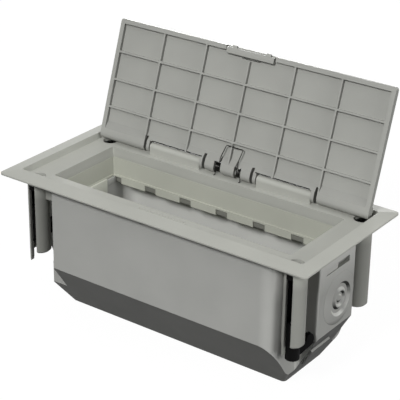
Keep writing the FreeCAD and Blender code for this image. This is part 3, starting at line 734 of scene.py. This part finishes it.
def slotShadow(look):
    start, end = look["span"]
    piece = openTube(look, look["top"] - look["bottom"], lambda turn: not start < turn < end)
    useModifier(piece, "SOLIDIFY", {"thickness": look["wall"], "offset": 1})
    return piece


slotShadowLevel = (slotShadowLook["top"] + slotShadowLook["bottom"]) / 2
placeCopies(slotShadow(slotShadowLook), [
    ("slotShadow_" + corner, (x, y, slotShadowLevel), halfTurn if y > 0 else straight)
    for corner, (x, y) in towerPlaces.items()], "clawBlackAndPaintedShade", "box")
print("slot heads closed")

# fills round the bay, each with a copy half a turn away
bayEdge = {"width": 0.0001, "segments": 2}
bayFills = (
    {  # curb on the notch wall
        "low": (-0.0699, 0.0138, 0.0515), "high": (-0.0681, 0.0246, 0.0551),
        "names": ("notchCurbRearLeft", "notchCurbFrontRight"), "finish": "tubPlastic", "slot": "tub_grey",
    },
    {  # block that ends the bay, paler than the module frame: painted light in the pocket under the ledge
        "low": (-0.0795, -0.0150, 0.0430), "high": (-0.0679, 0.0155, 0.0559),
        "names": ("bayEndLeft", "bayEndRight"), "finish": "bayEndPaintedLight", "slot": "module_grey",
    },
    {  # dark back for the clip gaps, painted shade in the gaps
        "low": (-0.0680, 0.0229, 0.05215), "high": (0.0680, 0.0233, 0.05525),
        "names": ("clipGapShadeRear", "clipGapShadeFront"), "finish": "clipGapPaintedShade", "slot": "module_grey",
    },
    {  # broad part of the tongue in the end window
        "low": (0.0794, -0.0099, 0.0588), "high": (0.0808, 0.0004, 0.0618),
        "names": ("tongueRight", "tongueLeft"), "finish": "tubPlastic", "slot": "frame_grey",
    },
)
for fill in bayFills:
    fillModel = blockBetween(fill["low"], fill["high"])
    softenEdges(fillModel, bayEdge["width"], bayEdge["segments"])
    fillSpots = zip(fill["names"], (middle, middle), (straight, halfTurn))
    placeCopies(fillModel, fillSpots, fill["finish"], "box")
print("bay fills set")

# dark strip along the edge of each knuckle window in the lid, painted shadow of the gap there
gapShadowLook = {
    "long": 0.0315,
    "wide": 0.00042,
    "thick": 0.00012,
    "along": 0.00316,  # up the lid from the hinge line
    "off": 0.00274,
    "rampDeg": 25.0,
    "edge": 0.00003,
    "edgeSegments": 2,
    "places": {"gapShadowLeft": -0.03175, "gapShadowRight": 0.03175},  # x of the middle
}


def windowGapShadow(look):
    half = (look["long"] / 2, look["wide"] / 2, look["thick"] / 2)
    piece = blockBetween([-side for side in half], half)
    piece.rotation_euler = (math.radians(-look["rampDeg"]), 0, 0)
    applyPlace()
    softenEdges(piece, look["edge"], look["edgeSegments"])
    piece.location = (0, look["along"], look["off"])
    applyPlace()
    return piece


placeCopies(windowGapShadow(gapShadowLook), [
    (name, (x, hingeLine["y"], hingeLine["z"]), alongLid)
    for name, x in gapShadowLook["places"].items()], "clawBlackAndPaintedShade", "lid")
print("window liners in")

# latch bar: slim bar with two soft noses, along the free edge of the lid
latchLook = {
    "half": 0.01388,
    "along": (0.0564, 0.0594),  # up the lid from the hinge line
    "off": (0.00125, 0.0038),  # off the hinge line, to the inner side
    "noses": ((-0.0113, -0.00875), (0.00875, 0.0113)),
    "noseOff": (0.0016, 0.0028),
    "reach": 0.00126,
    "edge": 0.0003,
    "edgeSegments": 4,
}


def latchBar(name, look):
    (low, high), (inner, outer) = look["along"], look["off"]
    noseLow, noseHigh = look["noseOff"]
    piece = blockBetween((-look["half"], low, inner), (look["half"], high, outer))
    openMesh(piece)
    cuts = [((x, 0, 0), lengthways) for nose in look["noses"] for x in nose]
    cuts += [((0, 0, z), (0, 0, 1)) for z in look["noseOff"]]
    for place, facing in cuts:
        bpy.ops.mesh.select_all(action="SELECT")
        bpy.ops.mesh.bisect(plane_co=place, plane_no=facing)

    def underNose(face):
        return (face.normal.y > 0.9 and noseLow < face.center.z < noseHigh
                and any(a < face.center.x < b for a, b in look["noses"]))

    pickFaces(piece, underNose)
    bpy.ops.mesh.extrude_region_move(TRANSFORM_OT_translate={"value": (0, look["reach"], 0)})
    faceOutwards()
    closeMesh()
    softenEdges(piece, look["edge"], look["edgeSegments"])
    piece.rotation_euler = alongLid
    piece.location = hingePlace
    return settle(piece, name, "lidPlastic", "latch")


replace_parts(latchBar("latchBarSlim", latchLook), "latch_bar")
print("latch bar set")
